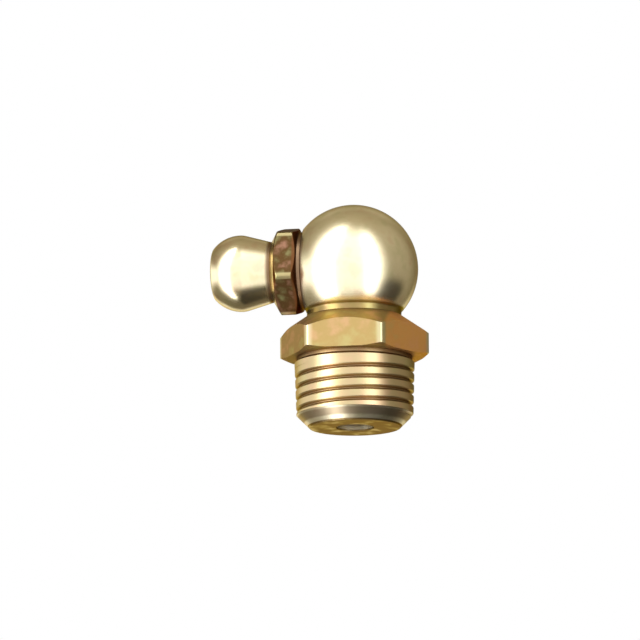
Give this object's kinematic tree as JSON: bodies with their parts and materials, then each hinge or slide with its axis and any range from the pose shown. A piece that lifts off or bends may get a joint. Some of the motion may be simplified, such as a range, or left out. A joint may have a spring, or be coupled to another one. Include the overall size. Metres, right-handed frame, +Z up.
{
  "type": "grease nipple",
  "caption": "Right-angled hydraulic grease nipple: taper-threaded hexagon shank, ball elbow and a screwed-in head with a spring-loaded check ball.",
  "frame": {"origin": "centre of the hexagon's underside, on the thread axis", "axes": "+Z up the thread axis, away from the machine; -X along the nipple, towards its tip; Y across"},
  "size_m": [0.0184, 0.011, 0.0191],
  "materials": {
    "elbow_steel": "turned steel, yellow-passivated zinc plate",
    "nipple_steel": "turned steel, yellow-passivated zinc plate, paler on the head",
    "ball_steel": "polished hardened steel",
    "spring_steel": "drawn spring wire"
  },
  "bodies": {
    "fitting": {"elbow_body": "elbow_steel", "nipple": "nipple_steel", "check_spring": "spring_steel"},
    "check_ball": {"check_ball": "ball_steel"}
  },
  "joints": [
    {"name": "check_ball_lift", "type": "slide", "parent": "fitting", "child": "check_ball", "axis": [1, 0, 0], "range_m": [0, 0.0012], "stiffness_N_per_m": 400, "springref_m": -0.0015, "deforming": ["check_spring"]}
  ]
}
